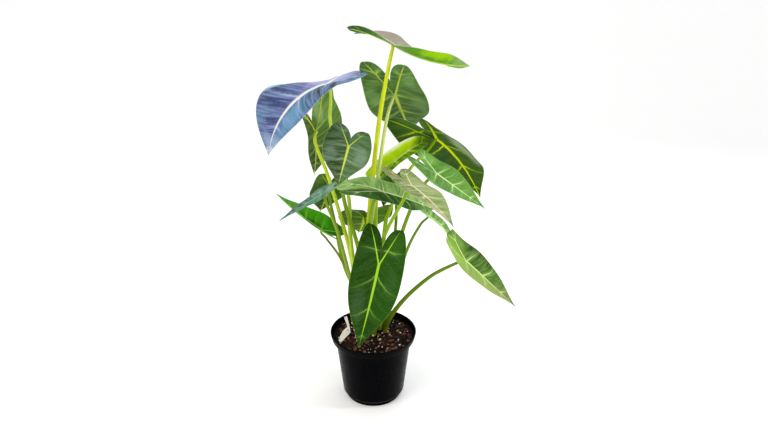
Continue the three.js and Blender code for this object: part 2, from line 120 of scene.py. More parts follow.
def moulded_polypropylene():
    """Black pot plastic: nearly black, satin, with dust near the rim and a painted highlight over the
    foot.
    Clouds of dust and of the highlight are 26 mm across, flow marks 3 mm apart and the grain 0.45 mm."""
    add, shader, made = new_material("moulded_polypropylene")
    place = add("TexCoord", out="Object")
    height = add("SeparateXYZ", {0: place}, out="Z")
    cloud = add("TexNoise", {"Vector": place, "Scale": 38, "Detail": 4})
    flow = add("Mapping", {"Vector": place, "Scale": (300, 300, 12)})
    streak = add("TexNoise", {"Vector": flow, "Scale": 1, "Detail": 3})
    grain = add("TexNoise", {"Vector": place, "Scale": 2200, "Detail": 1})
    rise = add("MapRange", {0: height, 1: 0.095, 2: 0.134, 3: 0.0, 4: 0.2})
    dust = add("Math", {0: rise, 1: cloud}, TIMES)
    tone = add("Mix", {0: dust, 6: "#020204", 7: "#181614"}, RGBA, 2)
    # Painted highlight: a pale grey line along the body's lower edge, just over the foot, where light
    # catches it.
    low = add("MapRange", {0: height, 1: 0.0125, 2: 0.0105}, SMOOTH)
    high = add("MapRange", {0: height, 1: 0.0088, 2: 0.0102}, SMOOTH)
    line = add("Math", {0: low, 1: high}, TIMES)
    painted_edge_highlight = add("Math", {0: line, 1: cloud}, TIMES)
    tone = add("Mix", {0: painted_edge_highlight, 6: tone, 7: "#54524e"}, RGBA, 2)
    gloss = add("MapRange", {0: cloud, 1: 0.3, 2: 0.7, 3: 0.23, 4: 0.31})
    rough = add("Math", {0: gloss, 1: dust}, {"operation": "ADD"})
    relief = add("Math", {0: streak, 1: 0.6, 2: grain}, TIMES_PLUS)
    bump = add("Bump", {"Strength": 0.12, "Distance": 0.0006, "Height": relief})
    fill(shader, {"Base Color": tone, "Roughness": rough, "Normal": bump})
    fill(shader, {"IOR": 1.49, "Specular IOR Level": 0.016})
    return made


def turned(bm, profile, sides):
    """Spins a list of (radius, height) corners in mm round the Z axis."""
    corners = [bm.verts.new((r * MM, 0, z * MM)) for r, z in profile]
    edges = [bm.edges.new(pair) for pair in zip(corners, corners[1:])]
    bmesh.ops.spin(
        bm,
        geom=corners + edges,
        cent=(0, 0, 0),
        axis=(0, 0, 1),
        angle=2 * pi,
        steps=sides,
        use_merge=True,
        use_duplicate=False,
    )
    bmesh.ops.remove_doubles(bm, verts=bm.verts[:], dist=0.00001)
    bmesh.ops.recalc_face_normals(bm, faces=bm.faces[:])


def rounded(profile, radius, steps):
    """The profile with each inner corner turned into a short arc."""
    out = [profile[0]]
    for before, here, after in zip(profile, profile[1:], profile[2:]):
        p, a, b = Vector(here), Vector(before), Vector(after)
        cut = min(radius, 0.45 * (a - p).length, 0.45 * (b - p).length)
        start, end = p + (a - p).normalized() * cut, p + (b - p).normalized() * cut
        for i in range(steps + 1):
            u = i / steps
            out.append(tuple(start.lerp(p, u).lerp(p.lerp(end, u), u)))
    out.append(profile[-1])
    return out


bm = bmesh.new()
w = POT_WALL
pot_profile = [
    (0, 0),
    (FOOT_RADIUS, 0),
    (FOOT_TOP_RADIUS, FOOT_HEIGHT),
    (BODY_FOOT_RADIUS, FOOT_HEIGHT),
    (BODY_TOP_RADIUS, COLLAR_FOOT),
    (COLLAR_FOOT_RADIUS, COLLAR_FOOT),
    (RIM_RADIUS - 0.3, POT_HEIGHT - 3),
    (RIM_RADIUS, POT_HEIGHT - 1.2),
    (RIM_RADIUS - 0.8, POT_HEIGHT),
    (RIM_RADIUS - 1.8, POT_HEIGHT - 0.6),
    (COLLAR_FOOT_RADIUS - w, COLLAR_FOOT + w),
    (BODY_TOP_RADIUS - w, COLLAR_FOOT + w),
    (BODY_FOOT_RADIUS - w, FOOT_HEIGHT + w),
    (FOOT_TOP_RADIUS - w, FOOT_HEIGHT + w),
    (FOOT_RADIUS - w, w),
    (0, w),
]
turned(bm, rounded(pot_profile, POT_CORNER, 3), POT_SIDES)
pot = new_piece("pot_shell", bm, moulded_polypropylene())

drills = bmesh.new()
for i in range(DRAIN_COUNT):
    a = (i + 0.5) / DRAIN_COUNT * 2 * pi
    bmesh.ops.create_cone(
        drills,
        cap_ends=True,
        segments=24,
        radius1=DRAIN_RADIUS * MM,
        radius2=DRAIN_RADIUS * MM,
        depth=4 * w * MM,
        matrix=Matrix.Translation(Vector((cos(a), sin(a), 0)) * DRAIN_RING_RADIUS * MM),
    )
drill = new_piece("drain_drill", drills)
cut = pot.modifiers.new("drain_holes", "BOOLEAN")
cut.operation, cut.solver, cut.object = "DIFFERENCE", "EXACT", drill
bpy.context.view_layer.update()
pot.data = bpy.data.meshes.new_from_object(pot.evaluated_get(bpy.context.evaluated_depsgraph_get()))
pot.modifiers.clear()
bpy.data.objects.remove(drill)
pot.data.set_sharp_from_angle(angle=radians(50))
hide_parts("pot")
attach(pot, "root")


# The soil: dark peat and bark mix, filled by hand to just above the collar's step and settled by
# watering. White perlite and brown bark chips lie in it and on it.

SOIL_TOP = 121
SOIL_RADIUS = 74.9
SOIL_GAP = 0.3
SOIL_EDGE = 4
SOIL_SIDES = 220
SOIL_RINGS = 86
GRAIN_COUNT = 140
GRAIN_SIZES = (1.1, 5.6)
BARK_COUNT = 230
BARK_SIZES = (2.2, 9.5)

dice = random.Random(41)


def soil_height(x, y):
    """The crumbly surface's height in mm at a point in mm: mounds, clods and crumbs."""
    mounds = noise.noise(Vector((x / 26, y / 26, 3.1)))
    clods = noise.fractal(Vector((x / 6.5, y / 6.5, 7.7)), 0.7, 2.1, 4)
    crumbs = noise.cell(Vector((x / 2.3, y / 2.3, 1.3))) - 0.5
    return SOIL_TOP - 0.8 + 1.3 * mounds + 1.5 * clods + 0.7 * crumbs


def peat_mix():
    """Damp peat: very dark brown and matt, with redder patches of 22 mm, crumbs of 2.4 mm and fibres."""
    add, shader, made = new_material("peat_mix")
    place = add("TexCoord", out="Object")
    patch = add("TexNoise", {"Vector": place, "Scale": 45, "Detail": 5})
    crumb = add("TexVoronoi", {"Vector": place, "Scale": 420}, out="Color")
    fibre = add("TexNoise", {"Vector": place, "Scale": 900, "Detail": 4})
    red = add("MapRange", {0: patch, 1: 0.45, 2: 0.62})
    base = add("Mix", {0: red, 6: "#080504", 7: "#28140b"}, RGBA, 2)
    chance = add("SeparateColor", {0: crumb})
    pale = add("MapRange", {0: chance, 1: 0.8, 2: 1.0, 3: 0.0, 4: 0.55})
    tone = add("Mix", {0: pale, 6: base, 7: "#4a2a1b"}, RGBA, 2)
    rough = add("MapRange", {0: fibre, 1: 0.3, 2: 0.7, 3: 0.78, 4: 0.98})
    bump = add("Bump", {"Strength": 0.8, "Distance": 0.0012, "Height": fibre})
    fill(shader, {"Base Color": tone, "Roughness": rough, "Normal": bump})
    fill(shader, {"Specular IOR Level": 0.1})
    return made


bm = bmesh.new()
inset = w + SOIL_GAP
soil_profile = [
    (0, inset),
    (FOOT_RADIUS - inset, inset),
    (FOOT_TOP_RADIUS - inset, FOOT_HEIGHT + inset),
    (BODY_FOOT_RADIUS - inset, FOOT_HEIGHT + inset),
    (BODY_TOP_RADIUS - inset, COLLAR_FOOT + inset),
    (SOIL_RADIUS - 0.1, COLLAR_FOOT + inset),
]
soil_profile += [(SOIL_RADIUS * (1 - i / SOIL_RINGS), SOIL_TOP) for i in range(SOIL_RINGS + 1)]
turned(bm, soil_profile, SOIL_SIDES)
for v in bm.verts:
    x, y, z = v.co / MM
    if z > SOIL_TOP - 0.5:
        # The surface sinks to a plain line where it meets the wall.
        loose = min(1, (SOIL_RADIUS - (x * x + y * y) ** 0.5) / SOIL_EDGE)
        edge_height = SOIL_TOP - SOIL_GAP
        v.co.z = (edge_height + (soil_height(x, y) - edge_height) * loose) * MM
soil = new_piece("soil_bed", bm, peat_mix())
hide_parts("soil")
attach(soil, "root")


def expanded_perlite():
    """Perlite: glass popped by heat, so a matt off-white foam with pores of 0.4 mm, stained by peat."""
    add, shader, made = new_material("expanded_perlite")
    place = add("TexCoord", out="Object")
    stain = add("TexNoise", {"Vector": place, "Scale": 160, "Detail": 3})
    pores = add("TexVoronoi", {"Vector": place, "Scale": 2600})
    brown = add("MapRange", {0: stain, 1: 0.42, 2: 0.66})
    tone = add("Mix", {0: brown, 6: "#e6ddcb", 7: "#a78d6c"}, RGBA, 2)
    rough = add("MapRange", {0: pores, 1: 0.0, 2: 0.8, 3: 0.95, 4: 0.75})
    bump = add("Bump", {"Strength": 0.7, "Distance": 0.0003, "Height": pores})
    fill(shader, {"Base Color": tone, "Roughness": rough, "Normal": bump})
    return made


def composted_bark():
    """Pine bark chips: split flakes, matt, reddish brown outside and darker where damp.
    Each chip has its own tone, 14 mm apart, and a grain of 1 by 4 mm."""
    add, shader, made = new_material("composted_bark")
    place = add("TexCoord", out="Object")
    chip = add("TexNoise", {"Vector": place, "Scale": 70, "Detail": 2})
    line = add("Mapping", {"Vector": place, "Scale": (900, 260, 600)})
    grain = add("TexNoise", {"Vector": line, "Scale": 1, "Detail": 4})
    warm = add("MapRange", {0: chip, 1: 0.4, 2: 0.62})
    base = add("Mix", {0: warm, 6: "#1e110b", 7: "#7a432c"}, RGBA, 2)
    dark = add("MapRange", {0: grain, 1: 0.35, 2: 0.6, 3: 0.5, 4: 0.0})
    tone = add("Mix", {0: dark, 6: base, 7: "#1a0f0a"}, RGBA, 2)
    rough = add("MapRange", {0: grain, 1: 0.3, 2: 0.7, 3: 0.7, 4: 0.92})
    bump = add("Bump", {"Strength": 0.6, "Distance": 0.0004, "Height": grain})
    fill(shader, {"Base Color": tone, "Roughness": rough, "Normal": bump})
    return made


def strew(bm, count, sizes, flat):
    """Lumps of uneven size scattered over the soil, each about half sunk; flat is height over width."""
    for _ in range(count):
        r, a = (SOIL_RADIUS - SOIL_EDGE) * dice.random() ** 0.5, 2 * pi * dice.random()
        x, y = r * cos(a), r * sin(a)
        size = sizes[0] + (sizes[1] - sizes[0]) * dice.random() ** 2.2
        stretch = [1, 0.55 + 0.4 * dice.random(), flat * (0.7 + 0.5 * dice.random())]
        turn = Matrix.Rotation(2 * pi * dice.random(), 4, "Z")
        tilt = Matrix.Rotation(dice.uniform(-0.5, 0.5), 4, "X")
        lump = bmesh.ops.create_icosphere(bm, subdivisions=2, radius=size / 2 * MM)["verts"]
        for v in lump:
            v.co = Vector(c * k for c, k in zip(v.co, stretch)) * dice.uniform(0.8, 1.15)
        place = Matrix.Translation(Vector((x, y, soil_height(x, y) + 0.15 * size * flat)) * MM)
        bmesh.ops.transform(bm, matrix=place @ turn @ tilt, verts=lump)


bm = bmesh.new()
strew(bm, GRAIN_COUNT, GRAIN_SIZES, 0.8)
grains = new_piece("perlite_grains", bm, expanded_perlite())
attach(grains, "root")

bm = bmesh.new()
strew(bm, BARK_COUNT, BARK_SIZES, 0.45)
chips = new_piece("bark_chips", bm, composted_bark(), smooth=False)
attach(chips, "root")


# The label: a stamped plastic tag, left bare. Its wide end lies on the soil and its narrow stem
# leans up against the inside of the pot. Thin white polystyrene, punched from sheet.

TAG_THICKNESS = 0.7
TAG_LIFT = 0.9
TAG_BEND_Y = 19
TAG_SLOPE = 0.28
TAG_EDGE = 0.15
TAG_OUTLINE = [
    (-43, 5), (-44, 15), (-45.5, 25), (-49.5, 40), (-52, 50.5), (-57.2, 47.5), (-55, 40), (-49.6, 24),
    (-54, 17.7), (-57.5, 9.8), (-60.4, -2.6), (-62.4, -12), (-63, -20), (-62.3, -25), (-60.4, -27.6),
    (-57, -26.6), (-52, -14.7), (-47, -4.3),
]


def white_polystyrene():
    """Tag plastic: milky white with a soft shine, and soil splashes of 4 mm dried on it."""
    add, shader, made = new_material("white_polystyrene")
    place = add("TexCoord", out="Object")
    dirt = add("TexNoise", {"Vector": place, "Scale": 260, "Detail": 5})
    yellow = add("TexNoise", {"Vector": place, "Scale": 30})
    base = add("Mix", {0: yellow, 6: "#e9e4e0", 7: "#d8cec6"}, RGBA, 2)
    specks = add("MapRange", {0: dirt, 1: 0.6, 2: 0.72})
    tone = add("Mix", {0: specks, 6: base, 7: "#8a6f5c"}, RGBA, 2)
    rough = add("MapRange", {0: dirt, 1: 0.3, 2: 0.7, 3: 0.34, 4: 0.6})
    bump = add("Bump", {"Strength": 0.15, "Distance": 0.0002, "Height": dirt})
    fill(shader, {"Base Color": tone, "Roughness": rough, "Normal": bump, "IOR": 1.59})
    return made


bm = bmesh.new()
bm.faces.new([bm.verts.new((x * MM, y * MM, 0)) for x, y in TAG_OUTLINE])
for y in range(-24, 54, 3):
    parts = bm.verts[:] + bm.edges[:] + bm.faces[:]
    bmesh.ops.bisect_plane(bm, geom=parts, plane_co=(0, y * MM, 0), plane_no=(0, 1, 0))
grown = bmesh.ops.extrude_face_region(bm, geom=bm.faces[:], use_keep_orig=True)["geom"]
top = [g for g in grown if isinstance(g, bmesh.types.BMVert)]
bmesh.ops.translate(bm, verts=top, vec=(0, 0, TAG_THICKNESS * MM))
bmesh.ops.recalc_face_normals(bm, faces=bm.faces[:])
for v in bm.verts:
    up_the_stem = max(0, v.co.y / MM - TAG_BEND_Y)
    v.co.z += (SOIL_TOP + TAG_LIFT + up_the_stem * TAG_SLOPE) * MM
tag = new_piece("bare_tag", bm, white_polystyrene(), smooth=False)
soft = tag.modifiers.new("soft_edges", "BEVEL")
soft.width, soft.segments, soft.limit_method, soft.angle_limit = TAG_EDGE * MM, 2, "ANGLE", radians(40)
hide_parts("label")
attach(tag, "root")


# The leaves: eighteen, each on its own stalk from the crown below the soil. Sizes are in mm, angles in
# degrees, and a blade's outline in parts of its length from the stalk to the tip. Some leaves have
# their own notch, splay, lean (of the stalk's end) or lobe_twist (at the lobes' ends).

def grow(name, at, outline, turn, bend, ripple, stalk, way, **own):
    """A leaf's values by name: where its stalk meets the blade, the flat blade's outline, how it is
    turned and bent, its ripple, its stalk's radii and its stalk's route up from the soil."""
    keys = ["length", "width", "lobe", "wide_at", "uneven", "full", "heading", "pitch", "roll"]
    keys += ["droop", "lobe_droop", "fold", "cup", "twist", "wave", "phase", "foot", "top"]
    values = zip(keys, outline + turn + bend + ripple + stalk)
    return dict(values, name=name, at=at, way=way, **own)


LEAVES = [
    grow("crown", (36, 10, 643), (125, 0.225, 0.57, 0.08, -0.12, 0.3), (-4, -31, 15),
         (-34, 38, 9, -20, -59), (1.5, 40), (5.2, 2.6),
         [(-14, 22), (-7, -5, 337), (11, -7, 515), (27, 7, 607)], lobe_twist=-26, lean=-0.35),
    grow("rear_upper", (38, 65, 558), (174, 0.31, 0.51, 0.16, -0.02, 0.1), (74, -41, -4),
         (-16, 0, 2, 17, -17), (2.5, 120), (4.4, 2.4),
         [(-3, 31), (-7, 9, 293), (11, 3, 436), (25, 32, 522)]),
    grow("rear_right", (114, 94, 473), (190, 0.37, 0.46, 0.14, 0, 0.12), (42, -33, -11),
         (30, -3, 0, 30, -4), (3, 200), (4.4, 2.4),
         [(7, 30), (20, 9, 317), (30, 12, 364), (62, 22, 431)]),
    grow("left_upper", (-67, -20, 586), (157, 0.38, 0.37, 0.16, -0.4, 0.15), (-151, -8, 3),
         (71, -8, 12, 38, -74), (2, 300), (4.4, 2.4),
         [(-24, 20), (-39, 5, 312), (-42, 12, 393), (-68, 12, 510)], notch=0.9, lobe_twist=0, lean=0.1),
    grow("left_heart", (-35, -55, 495), (127, 0.3, 0.46, 0.1, -0.05, 0.09), (-95, -15, -18),
         (-5, 2, 8, 12, 6), (2, 10), (4.6, 2.4),
         [(-10, 2), (-23, -2, 282), (-47, -7, 383), (-51, -31, 454)]),
    grow("centre", (17, -60, 421), (124, 0.26, 0.58, 0.05, 0.02, 0.07), (31, -22, 24),
         (8, 28, 11, 15, 26), (2, 90), (4, 2.4),
         [(2, 11), (-1, -22, 237), (-6, -42, 334), (1, -56, 395)], notch=0.85),
    grow("left_narrow", (-81, -50, 414), (82, 0.31, 0.38, 0.08, 0, 0.085), (-172, -31, 0),
         (0, 5, 9, 11, 0), (1.5, 150), (3.8, 2.2),
         [(-22, 0), (-37, -30, 239), (-56, -40, 337), (-73, -48, 393)]),
    grow("centre_right", (62, -90, 441), (116, 0.3, 0.47, 0.09, 0, 0.1), (-58, -8, -14),
         (15, -11, 13, 14, 2), (1.5, 220), (4, 2.4),
         [(-16, -9), (0, -37, 243), (19, -59, 339), (46, -85, 407)]),
    grow("right_upper", (106, -20, 440), (99, 0.31, 0.51, 0.08, 0, 0.09), (-30, -27, 12),
         (1, -8, 13, 7, 12), (1.5, 280), (4.6, 2.4),
         [(11, 20), (31, 1, 247), (59, 3, 349), (86, -6, 413)]),
    grow("right_low", (160, -30, 287), (118, 0.32, 0.45, 0.08, 0, 0.085), (-16, -40, 9),
         (0, -19, 19, 14, 13), (1.5, 330), (5, 2.2),
         [(22, 12), (49, -10, 191), (98, -13, 244), (139, -22, 274)], notch=0.85),
    grow("front", (12, -90, 309), (143, 0.3, 0.42, 0.2, -0.02, 0.13), (-113, -58, -30),
         (23, 20, 15, 10, -7), (1.5, 60), (4.6, 2.4),
         [(1, 1), (23, -33, 198), (15, -50, 264), (11, -72, 299)]),
    grow("left_low", (-90, 15, 325), (103, 0.33, 0.37, 0.07, -0.03, 0.085), (168, 30, 2),
         (-15, -8, 25, 3, 5), (1.5, 110), (2.7, 1.8),
         [(-33, 8), (-31.5, -4, 209), (-58, 13, 270), (-83, 16, 308)]),
    grow("left_rear", (-102, 55, 495), (146, 0.34, 0.39, 0.02, -0.6, 0.055), (93, -50, -58),
         (-9, -26, -4, -8, 37), (2, 170), (4.4, 2.4),
         [(-24, 31), (-40, 16, 275), (-73, 22, 409), (-99, 41, 477)], splay=0.66, lobe_twist=-4),
    grow("left_rear_low", (-78, 60, 393), (111, 0.3, 0.38, 0.1, 0.05, 0.09), (111, -48, 7),
         (-10, 0, 2, 19, 3), (2, 240), (3.6, 2.2),
         [(-13, 38), (-55, 46, 242), (-71, 50, 332), (-79, 50, 379)]),
    grow("rear_low", (-16, 80, 327), (147, 0.35, 0.47, 0.06, -0.04, 0.08), (98, -38, -1),
         (-9, 18, 12, 11, 7), (2, 310), (3.6, 2.2),
         [(-2, 42), (-3, 41, 204), (-9, 46, 273), (-12, 62, 312)]),
    grow("rear_mid", (36, 65, 401), (87, 0.3, 0.38, 0.08, 0, 0.085), (110, -49, -2), (6, 0, 6, 17, 4),
         (1.5, 20), (3.6, 2.2), [(16, 37), (33, 41, 238), (42, 42, 335), (40, 52, 386)]),
    grow("right_edge", (99, 10, 354), (82, 0.3, 0.35, 0.08, 0, 0.085), (10, -37, 8),
         (25, -2, 15, 10, 13), (1.5, 80), (3.6, 2),
         [(21, 25), (40, 4, 213), (61, 7, 290), (83, 9, 336)], lean=-0.1),
    grow("young", (39, 48, 442), (88, 0.343, 0.62, 0, -0.01, 0.158), (10, 40, 56),
         (65, -5, 45, -27, 15), (1, 130), (4, 2.2),
         [(1.5, 21), (2.5, 16, 175), (5, 21, 265), (7, 21, 380), (16, 52, 419)], lobe_twist=1, lean=1),
]


def blade_frame(leaf):
    """The flat blade's directions: along to the tip, to the left half, and up from its upper face."""
    h, p, r = (radians(leaf[k]) for k in ("heading", "pitch", "roll"))
    along = Vector((cos(p) * cos(h), cos(p) * sin(h), sin(p)))
    left = Vector((-sin(h), cos(h), 0))
    up = along.cross(left)
    return along, left * cos(r) + up * sin(r), up * cos(r) - left * sin(r)


# The stalks: round, fleshy and upright, thicker at the foot, where each has a shallow channel that
# held the next leaf. Grown from the crown; waxy yellow-green skin with fine darker streaks.

# Heights and gaps in mm, and the flare's and the channel's sizes in shares of the radius and length.
STALK_FOOT = 97.6
STALK_START = 122.5
STALK_LEAN = 0.35
STALK_STOP = 3.4
STALK_END = 1.6
STALK_TAPER = 0.8
STALK_RINGS = 64
STALK_SIDES = 18
FLARE = 0.28
FLARE_LENGTH = 0.035
CHANNEL_DEPTH = 0.24
CHANNEL_LENGTH = 0.34

# Each stalk's tone above and at its foot.
STALK_COLOURS = {
    "crown": ("#c4d020", "#8cb400"),
    "rear_upper": ("#c8d47c", "#84a81c"),
    "rear_right": ("#98bc10", "#6c9400"),
    "left_upper": ("#c4dc4c", "#749c08"),
    "left_heart": ("#84a618", "#5a7c00"),
    "centre": ("#7ca018", "#587c00"),
    "left_narrow": ("#869e2c", "#587808"),
    "centre_right": ("#88ac28", "#648c08"),
    "right_upper": ("#88ac28", "#6c980c"),
    "right_low": ("#6c8c1c", "#525c08"),
    "front": ("#5c8410", "#446800"),
    "left_low": ("#7c8434", "#56601c"),
    "left_rear": ("#c8dc3c", "#80a818"),
    "left_rear_low": ("#789c1c", "#587c04"),
    "rear_low": ("#7ca410", "#5c8400"),
    "rear_mid": ("#789c1c", "#5c8004"),
    "right_edge": ("#789c1c", "#5c8004"),
    "young": ("#b4d430", "#8cb800"),
}


def waxy_stalk(name, high, low):
    """Stalk skin: smooth cuticle over green flesh, with darker streaks along it and a browner foot.
    Streaks are 1 mm wide and 22 mm long, and the tone wanders over 29 mm."""
    add, shader, made = new_material(name)
    skin = add("Attribute", {}, {"attribute_name": "skin"}, "Vector")
    height = add("SeparateXYZ", {0: skin}, out="Z")
    grain = add("Mapping", {"Vector": skin, "Scale": (0.9, 0.9, 0.045)})
    streak = add("TexNoise", {"Vector": grain, "Scale": 1, "Detail": 4})
    cloud = add("TexNoise", {"Vector": skin, "Scale": 0.035, "Detail": 2})
    up = add("MapRange", {0: height, 1: 20, 2: 240})
    blend = add("Math", {0: cloud, 1: 0.5, 2: up}, TIMES_PLUS | CLAMPED)
    base = add("Mix", {0: blend, 6: low, 7: high}, RGBA, 2)
    dark = add("MapRange", {0: streak, 1: 0.5, 2: 0.72, 3: 0.0, 4: 0.5})
    lined = add("Mix", {0: dark, 6: base, 7: "#4a6a16"}, RGBA, 2)
    brown = add("MapRange", {0: height, 1: 45, 2: 24, 3: 0.0, 4: 0.35})
    tone = add("Mix", {0: brown, 6: lined, 7: "#8a7a30"}, RGBA, 2)
    rough = add("MapRange", {0: streak, 1: 0.3, 2: 0.7, 3: 0.3, 4: 0.46})
    bump = add("Bump", {"Strength": 0.25, "Distance": 0.0003, "Height": streak})
    fill(shader, {"Base Color": tone, "Roughness": rough, "Normal": bump})
    fill(shader, {"IOR": 1.43, "Specular IOR Level": 0.1})
    return made


def stalk_route(leaf):
    """Points up the stalk in mm: straight in the soil, then one smooth curve to just under the blade."""
    along, _, up = blade_frame(leaf)
    foot = Vector((*leaf["way"][0], STALK_FOOT))
    stops = [Vector((*leaf["way"][0], STALK_START))] + [Vector(p) for p in leaf["way"][1:]]
    stops.append(Vector(leaf["at"]) - up * STALK_STOP)
    last = len(stops) - 1
    slopes = [(stops[min(i + 1, last)] - stops[max(i - 1, 0)]) / 2 for i in range(last + 1)]
    rise = stops[1] - stops[0]
    slopes[0] = Vector((0.3 * rise.x, 0.3 * rise.y, rise.z))
    end = up + along * leaf.get("lean", STALK_LEAN)
    slopes[last] = end.normalized() * (stops[last] - stops[last - 1]).length
    points = [foot, foot.lerp(stops[0], 0.5)]
    for i in range(STALK_RINGS + 1):
        f = i / STALK_RINGS * last
        k = min(last - 1, int(f))
        u = f - k
        points.append(
            stops[k] * (2 * u**3 - 3 * u**2 + 1)
            + slopes[k] * (u**3 - 2 * u**2 + u)
            + stops[k + 1] * (3 * u**2 - 2 * u**3)
            + slopes[k + 1] * (u**3 - u**2)
        )
    # The flesh runs on into the ribs.
    points.append(Vector(leaf["at"]) - up * STALK_END)
    return points


def make_stalk(leaf):
    """One stalk: a ring of skin drawn along its route, with a channel low down and a flare at its top."""
    bm = bmesh.new()
    skin = bm.verts.layers.float_vector.new("skin")
    points = stalk_route(leaf)
    ring = bmesh.ops.create_circle(bm, segments=STALK_SIDES, radius=1, cap_ends=True)["verts"]
    side = Vector((1, 0, 0))
    travelled = 0
    for n, here in enumerate(points):
        ahead = (points[min(n + 1, len(points) - 1)] - points[max(n - 1, 0)]).normalized()
        if n:
            travelled += (here - points[n - 1]).length
            edges = [bm.edges.get(pair) for pair in zip(ring, ring[1:] + ring[:1])]
            grown = set(bmesh.ops.extrude_edge_only(bm, edges=edges)["geom"])
            ring = [next(e.other_vert(v) for e in v.link_edges if e.other_vert(v) in grown) for v in ring]
        side = (side - ahead * side.dot(ahead)).normalized()
        across = ahead.cross(side)
        share = max(0, n - 2) / (len(points) - 3)
        radius = leaf["foot"] + (leaf["top"] - leaf["foot"]) * share**STALK_TAPER
        radius *= 1 + FLARE * max(0, share - 1 + FLARE_LENGTH) / FLARE_LENGTH
        # The channel lies on the side that faces the middle of the pot.
        if n < 3:
            inward = Vector((-here.x, -here.y, 0))
            inward = inward.normalized() if inward.length > 1 else Vector((1, 0, 0))
        for i, v in enumerate(ring):
            a = 2 * pi * i / STALK_SIDES
            out = side * cos(a) + across * sin(a)
            dip = CHANNEL_DEPTH * max(0, out.dot(inward)) ** 6 * max(0, 1 - share / CHANNEL_LENGTH)
            v.co = (here + out * radius * (1 - dip)) * MM
            v[skin] = (cos(a) * radius, sin(a) * radius, travelled)
    bmesh.ops.contextual_create(bm, geom=ring)
    bmesh.ops.recalc_face_normals(bm, faces=bm.faces[:])
    name = leaf["name"]
    high, low = STALK_COLOURS[name]
    stalk = new_piece(f"stalk_{name}", bm, waxy_stalk(f"waxy_stalk_{name}", high, low))
    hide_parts(f"petiole_{name}")
    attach(stalk, "root")


for leaf in LEAVES:
    make_stalk(leaf)


# The blades: thin, arrow-shaped and velvety, with a heavy midrib that forks into the two back lobes.
# Each is bent from a flat arrow by its droop, fold, cup and twist, and its skin puffs up a little
# between the side veins.

# The sizes of skin, ribs and seam are in mm, and the ripple's rate and shift in radians. The others are
# shares of the blade's length, of its lobes or of its width.
BLADE_THICKNESS = 0.8
MARGIN_THICKNESS = 0.4
MARGIN_START = 0.6
RIB_HEIGHT = 2.2
RIB_HALF_WIDTH = 0.7
RIB_LOSS = 1.9
LOBE_RIB_LOSS = 1.7
VEIN_HEIGHT = 0.5
VEIN_HALF_WIDTH = 0.9
VEIN_SPACING = 0.17
SUNK_VEIN = 0.3
GROOVE_START = 2
SUNK_RIB = 0.24
QUILT = 0.9
QUILT_DIP = 0.3
RIPPLE_RATE = 9
RIPPLE_SHIFT = 1.3
SEAM = 0.004
SPLAY = 0.62
NOTCH = 0.42
NOTCH_SHARE = 0.6
VEIN_BOW = 0.05
MAIN_VEINS = (0.02, 0.14, 0.33, 0.52, 0.7, 0.85, 1)
LOBE_VEINS = (-1, -0.65, -0.35, 0)
BETWEEN_VEINS = (0, 0.035, 0.08, 0.17, 0.33, 0.5, 0.67, 0.83, 0.92, 0.965)
OUTER_COLUMNS = (
    0, 0.018, 0.04, 0.07, 0.12, 0.19, 0.28, 0.38, 0.48, 0.58, 0.68, 0.78, 0.87, 0.94, 0.985, 1
)
INNER_COLUMNS = (-1, -0.97, -0.85, -0.65, -0.45, -0.28, -0.15, -0.08, -0.04)

# Every second side vein is strong, from the first on or, in these leaves, from the second on. The others
# are faint, or nearly gone in the leaves of the second list.
SECOND_VEIN_FIRST = ("rear_right", "front")
FEW_VEINS = ("rear_right", "front", "right_low")
